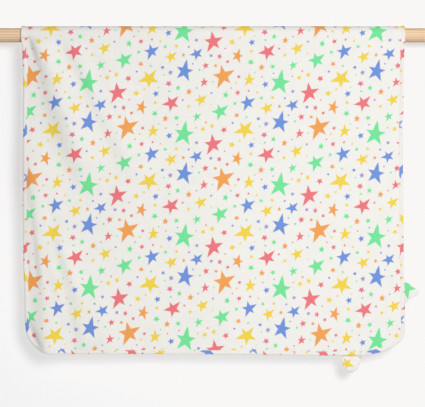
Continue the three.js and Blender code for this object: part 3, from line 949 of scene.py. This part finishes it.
def printed_jersey(name, ground):
    """Brushed cotton jersey with a pigment print: matt and soft, with a faint rib of knit wales, an
    even off-white ground and print colours that sink a little into the loops."""
    material, tree, shader, _ = new_material(name)
    flat = add(tree, "ShaderNodeUVMap", uv_map="flat_cut").outputs["UV"]
    maths = maths_in(tree)

    def noise(scale, detail):
        return noise_in(tree, flat, scale, detail, noise_dimensions="2D")

    # The outline of this face's star, a little wavy as ink on knit is
    place = add(tree, "ShaderNodeAttribute", attribute_name="star_place").outputs["Vector"]
    shape = add(tree, "ShaderNodeAttribute", attribute_name="star_shape").outputs["Vector"]
    colour = add(tree, "ShaderNodeAttribute", attribute_name="star_colour").outputs["Color"]
    turn = add(tree, "ShaderNodeSeparateXYZ", {0: place}).outputs["Z"]
    sizes = add(tree, "ShaderNodeSeparateXYZ", {0: shape}).outputs
    away = add(tree, "ShaderNodeVectorMath", {0: flat, 1: place}, operation="SUBTRACT").outputs[0]
    way = add(tree, "ShaderNodeSeparateXYZ", {0: away}).outputs
    squares = maths("MULTIPLY_ADD", way["X"], way["X"], maths("MULTIPLY", way["Y"], way["Y"]))
    angle = maths("SUBTRACT", maths("ARCTAN2", way["Y"], way["X"]), turn)
    twofold = maths("COSINE", maths("MULTIPLY_ADD", turn, 5.0, maths("MULTIPLY", angle, 2.0)))
    threefold = maths("COSINE", maths("MULTIPLY_ADD", turn, -4.0, maths("MULTIPLY", angle, 3.0)))
    unevenly = maths("MULTIPLY_ADD", threefold, 0.6, twofold)
    drawn = maths("MULTIPLY_ADD", unevenly, sizes["Z"], 1.0)
    distance = maths("MULTIPLY", maths("SQRT", squares), drawn)
    folded = maths("PINGPONG", angle, math.pi / 5)
    leaning = maths("COSINE", maths("SUBTRACT", folded, sizes["Y"]))
    edge = maths("MULTIPLY", sizes["X"], maths("COSINE", sizes["Y"]))
    inside = maths("SUBTRACT", edge, maths("MULTIPLY", distance, leaning))
    wobble = maths("MULTIPLY", maths("SUBTRACT", noise(700, 1.0), 0.5), PRINT_WOBBLE_MM * MM)
    blur = PRINT_BLUR_MM * MM
    feeds = {"Value": maths("ADD", inside, wobble), "From Min": -blur, "From Max": blur}
    soft_step = add(tree, "ShaderNodeMapRange", feeds, interpolation_type="SMOOTHSTEP")
    inked = soft_step.outputs["Result"]

    # Knit: wales up the cloth and courses across it, about twice as coarse as real ones, to show
    lines = add(tree, "ShaderNodeSeparateXYZ", {0: flat}).outputs
    wale = maths("SINE", maths("MULTIPLY", lines["X"], 2 * math.pi / (WALE_SPACING_MM * MM)))
    course = maths("SINE", maths("MULTIPLY", lines["Y"], 2 * math.pi / (COURSE_SPACING_MM * MM)))
    knit = maths("ADD", maths("MULTIPLY", wale, 0.6), maths("MULTIPLY", course, 0.4))
    mottle = noise(38, 3.0)
    fuzz = noise(420, 2.0)

    tone = maths("ADD", maths("MULTIPLY", maths("SUBTRACT", mottle, 0.5), 0.05),
                 maths("MULTIPLY", maths("SUBTRACT", fuzz, 0.5), 0.05))
    shade = maths("ADD", 1.0, maths("ADD", tone, maths("MULTIPLY", knit, 0.008)))
    ink_tone = maths("MULTIPLY", maths("SUBTRACT", fuzz, 0.5), 0.16)
    depth = maths("SUBTRACT", 0.96, maths("ABSOLUTE", ink_tone))
    feeds = {0: linear(ground)[:3], "Scale": shade}
    plain = add(tree, "ShaderNodeVectorMath", feeds, operation="SCALE").outputs[0]
    ink = maths("MULTIPLY", inked, depth)
    feeds = {MIX_SHARE: ink, MIX_FIRST: plain, MIX_SECOND: colour}
    mixed = add(tree, "ShaderNodeMix", feeds, data_type="RGBA").outputs[MIX_RESULT]
    height = maths("ADD", knit, maths("MULTIPLY", fuzz, 1.2))
    finish_surface(tree, shader, mixed, 0.9, height, strength=0.35, depth=0.0002)
    shader.inputs["Specular IOR Level"].default_value = 0.25
    shader.inputs["Sheen Weight"].default_value = 0.12
    shader.inputs["Sheen Roughness"].default_value = 0.5
    return material


def sewing_thread():
    """Spun polyester thread: a little smoother and brighter than the jersey round it."""
    material, tree, shader, _ = new_material("sewing_thread")
    place = add(tree, "ShaderNodeTexCoord").outputs["Object"]
    twist = noise_in(tree, place, 900, 2.0)
    colour = ramp(tree, twist, [(0.3, "#E9E4DA"), (0.7, "#F8F5EE")])
    finish_surface(tree, shader, colour, 0.6, twist, strength=0.3, depth=0.0001)
    return material


RING_SPACING_MM = 4.7


def sanded_pine():
    """Bare sanded pine dowel: pale and dull, with growth rings cut lengthways into straight soft
    stripes, and fine fibres along it."""
    material, tree, shader, _ = new_material("sanded_pine")
    place = add(tree, "ShaderNodeTexCoord").outputs["Object"]
    maths = maths_in(tree)

    def moved(**mapping):
        feeds = {"Vector": place, **{name.title(): value for name, value in mapping.items()}}
        return add(tree, "ShaderNodeMapping", feeds).outputs[0]

    drift = noise_in(tree, moved(scale=(1.6, 30, 30)), 1.0, 2.0)
    # The rings' centre lies well below the rod, so they cross its face as level stripes
    from_pith = moved(location=(0, -0.02, 0.105))
    away = add(tree, "ShaderNodeSeparateXYZ", {0: from_pith}).outputs
    squares = maths("MULTIPLY_ADD", away["Y"], away["Y"], maths("MULTIPLY", away["Z"], away["Z"]))
    rings = maths("DIVIDE", maths("SQRT", squares), RING_SPACING_MM * MM)
    rings = maths("ADD", rings, maths("MULTIPLY", drift, 1.1))
    across = maths("FRACT", rings)
    wood = ramp(tree, across, [
        (0.0, "#F3D2AE"),
        (0.42, "#F6D9B6"),
        (0.70, "#EBC8A2"),
        (0.86, "#D9B28A"),
        (0.93, "#DDB791"),
        (1.0, "#F3D2AE"),
    ])
    fibre = noise_in(tree, moved(scale=(14, 700, 700)), 1.0, 3.0)
    feeds = {0: wood, "Scale": maths("ADD", 0.93, maths("MULTIPLY", fibre, 0.14))}
    colour = add(tree, "ShaderNodeVectorMath", feeds, operation="SCALE").outputs[0]
    height = maths("ADD", fibre, maths("MULTIPLY", across, 0.4))
    finish_surface(tree, shader, colour, 0.62, height, strength=0.35, depth=0.0003)
    return material


def stitch_tree(material):
    """Geometry Nodes: stitches of one thread laid end to end along a seam path."""
    tree = bpy.data.node_groups.new("stitch_line", "GeometryNodeTree")
    face = tree.interface
    face.new_socket("Path", in_out="INPUT", socket_type="NodeSocketGeometry")
    for name in ("Pitch", "Stitch Length", "Thread Thickness"):
        face.new_socket(name, in_out="INPUT", socket_type="NodeSocketFloat")
    face.new_socket("Stitches", in_out="OUTPUT", socket_type="NodeSocketGeometry")
    given = add(tree, "NodeGroupInput").outputs
    line = add(tree, "GeometryNodeMeshToCurve", {"Mesh": given["Path"]}).outputs[0]
    feeds = {"Curve": line, "Length": given["Pitch"]}
    places = add(tree, "GeometryNodeResampleCurve", feeds, mode="LENGTH")
    ahead = add(tree, "GeometryNodeInputTangent").outputs[0]
    aligned = add(tree, "FunctionNodeAlignRotationToVector", {"Vector": ahead}, axis="X").outputs[0]
    feeds = {"Segments": 6, "Rings": 5, "Radius": 0.5}
    bead = add(tree, "GeometryNodeMeshUVSphere", feeds).outputs["Mesh"]
    size = add(tree, "ShaderNodeCombineXYZ", {
        "X": given["Stitch Length"],
        "Y": given["Thread Thickness"],
        "Z": given["Thread Thickness"],
    }).outputs[0]
    # Each stitch is drawn a little tighter or looser
    feeds = {2: 0.88, 3: 1.08, "Seed": 5}
    pull = add(tree, "FunctionNodeRandomValue", feeds, data_type="FLOAT").outputs[1]
    size = add(tree, "ShaderNodeVectorMath", {0: size, "Scale": pull}, operation="SCALE").outputs[0]
    laid = add(tree, "GeometryNodeInstanceOnPoints", {
        "Points": places.outputs[0],
        "Instance": bead,
        "Rotation": aligned,
        "Scale": size,
    }).outputs[0]
    real = add(tree, "GeometryNodeRealizeInstances", {0: laid}).outputs[0]
    smooth = add(tree, "GeometryNodeSetShadeSmooth", {0: real}).outputs[0]
    coloured = add(tree, "GeometryNodeSetMaterial", {"Geometry": smooth, "Material": material})
    add(tree, "NodeGroupOutput", {0: coloured.outputs[0]})
    return tree


def make_stitches(name, paths, tree):
    """One mesh of all the stitches along some paths, each of points and whether it closes."""
    vertices, edges = [], []
    for points, closed in paths:
        first = len(vertices)
        vertices += (points * MM).tolist()
        count = len(points)
        steps = count if closed else count - 1
        edges += [(first + i, first + (i + 1) % count) for i in range(steps)]
    mesh = bpy.data.meshes.new(name + "_path")
    mesh.from_pydata(vertices, edges, [])
    path = place_in_scene(name + "_path", mesh)
    modifier = path.modifiers.new("stitches", "NODES")
    modifier.node_group = tree
    values = {
        "Pitch": STITCH_PITCH,
        "Stitch Length": STITCH_LENGTH,
        "Thread Thickness": THREAD_THICKNESS,
    }
    for item in tree.interface.items_tree:
        if item.name in values:
            modifier[item.identifier] = values[item.name] * MM
    ready = path.evaluated_get(bpy.context.evaluated_depsgraph_get())
    made = bpy.data.meshes.new_from_object(ready)
    made.name = name
    bpy.data.objects.remove(path)
    return place_in_scene(name, made)


def binding_stitch_paths():
    """The stitch lines that hold the binding, in front and behind."""
    points, ways, _, _ = seam_outline(SEAM_STEP)
    at = points + ways * STITCH_INSET
    raised = pucker(points) + cockle(points)
    height = STITCHES_OFF_CLOTH * pressed(points)
    front = off_cloth(at, raised + height)
    rear = off_cloth(at, raised - height - rear_extra(points))
    return [(front, True), (rear, True)]


def stage_material(name, colour, glow):
    """A matt painted board, plain, that shows only from its own side."""
    material, tree, shader, out = new_material(name)
    tree.nodes.remove(shader)
    paint = add(tree, "ShaderNodeBsdfDiffuse", {"Color": linear(colour)}).outputs[0]
    light = add(tree, "ShaderNodeEmission", {"Color": linear(colour), "Strength": glow}).outputs[0]
    lit = add(tree, "ShaderNodeAddShader", {0: paint, 1: light}).outputs[0]
    clear = add(tree, "ShaderNodeBsdfTransparent").outputs[0]
    behind = add(tree, "ShaderNodeNewGeometry").outputs["Backfacing"]
    shown = add(tree, "ShaderNodeMixShader", {0: behind, 1: lit, 2: clear}).outputs[0]
    tree.links.new(shown, out.inputs["Surface"])
    return material


def stage_plane(name, corners, material):
    mesh = bpy.data.meshes.new(name)
    mesh.from_pydata(corners, [], [(0, 1, 2, 3)])
    mesh.materials.append(material)
    plane = place_in_scene(name, mesh)
    return plane


def area_light(name, place, aim, size, power):
    lamp = bpy.data.lights.new(name, "AREA")
    lamp.shape = "DISK"
    lamp.size = size
    lamp.energy = power
    light = place_in_scene(name, lamp)
    light.location = place
    light.rotation_euler = (Vector(aim) - Vector(place)).to_track_quat("-Z", "Y").to_euler()
    return light


# Everything put together

scene = bpy.context.scene
camera_data = bpy.data.cameras.new("camera")
camera_data.lens = LENS
camera_data.sensor_width = SENSOR
camera = place_in_scene("camera", camera_data)
camera_distance = PHOTO_WIDTH_PX * MM_PER_PIXEL * LENS / SENSOR
camera.location = (CAMERA_ACROSS * MM, (CLOTH_FACE - camera_distance) * MM, CAMERA_UP * MM)
camera.rotation_euler = (math.pi / 2, 0, 0)
scene.camera = camera

jersey = printed_jersey("printed_jersey", "#F2F2EE")
strip_jersey = printed_jersey("printed_jersey_strip", "#F1F0EC")
thread = sewing_thread()
pine = sanded_pine()

blanket = make_blanket(jersey)
binding = make_binding(strip_jersey)
hood = make_hood(jersey)
ears = {
    "ear_bottom": make_ear("ear_bottom", EARS["ear_bottom"], jersey),
    "ear_side": make_ear("ear_side", EARS["ear_side"], jersey),
}
dowel = make_dowel(pine)
stitching = stitch_tree(thread)
binding_stitches = make_stitches("binding_stitches", binding_stitch_paths(), stitching)
hood_stitches = make_stitches("hood_stitches", [(hood_hem_line(), False)], stitching)

for piece, nodes, slot in (
    (blanket, ["blanket_body"], "blanket_cloth"),
    (binding, ["edge_binding"], "binding_cloth"),
    (hood, ["hood"], "hood_cloth"),
    (ears["ear_bottom"], ["ear_bottom"], "ear_cloth"),
    (ears["ear_side"], ["ear_side"], "ear_cloth"),
    (dowel, ["rod"], "rod_wood"),
    (binding_stitches, [], "binding_cloth"),
    (hood_stitches, [], "hood_cloth"),
):
    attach(piece, "root")
    if nodes:
        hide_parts(*nodes)

# The stage, in metres
WALL_BACK = 0.030
WALL_HALF = 3.2
WALL_TOP = 2.2
FLOOR_HALF = 5
FLOOR_DOWN = -0.98
WORLD_LIGHT = 0.32
CLOTH_MIDDLE = (0.0, 0.0, -0.3)

wall = stage_plane(
    "wall",
    [
        (-WALL_HALF, WALL_BACK, FLOOR_DOWN),
        (WALL_HALF, WALL_BACK, FLOOR_DOWN),
        (WALL_HALF, WALL_BACK, WALL_TOP),
        (-WALL_HALF, WALL_BACK, WALL_TOP),
    ],
    stage_material("wall_paint", "#D9DADC", 0.667),
)
for ray in ("visible_diffuse", "visible_glossy", "visible_transmission", "visible_shadow"):
    setattr(wall, ray, False)
stage_plane(
    "floor",
    [
        (-FLOOR_HALF, -FLOOR_HALF, FLOOR_DOWN),
        (FLOOR_HALF, -FLOOR_HALF, FLOOR_DOWN),
        (FLOOR_HALF, FLOOR_HALF, FLOOR_DOWN),
        (-FLOOR_HALF, FLOOR_HALF, FLOOR_DOWN),
    ],
    stage_material("floor_paint", "#DCDCDB", 0.0),
)

world = bpy.data.worlds.new("studio")
world.use_nodes = True
world.node_tree.nodes["Background"].inputs["Color"].default_value = linear("#FFFFFF")
world.node_tree.nodes["Background"].inputs["Strength"].default_value = WORLD_LIGHT
scene.world = world
area_light("key", (1.02, -2.76, 0.58), CLOTH_MIDDLE, size=1.3, power=48)
# Boards below, above and behind throw light on the part alone, so that the wall keeps its shadow
boards = [
    area_light("low_fill", (0.1, -1.3, -0.8), CLOTH_MIDDLE, size=0.36, power=4),
    area_light("top_fill", (0.3, -0.5, 1.7), (0.0, 0.0, 0.0), size=0.9, power=4),
    area_light("rear_fill", (-0.9, 2.6, 0.7), CLOTH_MIDDLE, size=1.8, power=54),
]
lit_by_boards = bpy.data.collections.new("lit_by_boards")
for piece in (blanket, binding, hood, dowel, binding_stitches, hood_stitches, *ears.values()):
    lit_by_boards.objects.link(piece)
for board in boards:
    board.light_linking.receiver_collection = lit_by_boards
scene.view_settings.view_transform = "Standard"
scene.view_settings.look = "None"
# The photograph's whites end just short of pure white
scene.view_settings.use_curve_mapping = True
whites = scene.view_settings.curve_mapping
for channel, brightest in enumerate(linear("#F9F7F6")[:3]):
    whites.curves[channel].points[1].location = (1.0, brightest)
whites.extend = "HORIZONTAL"
whites.update()
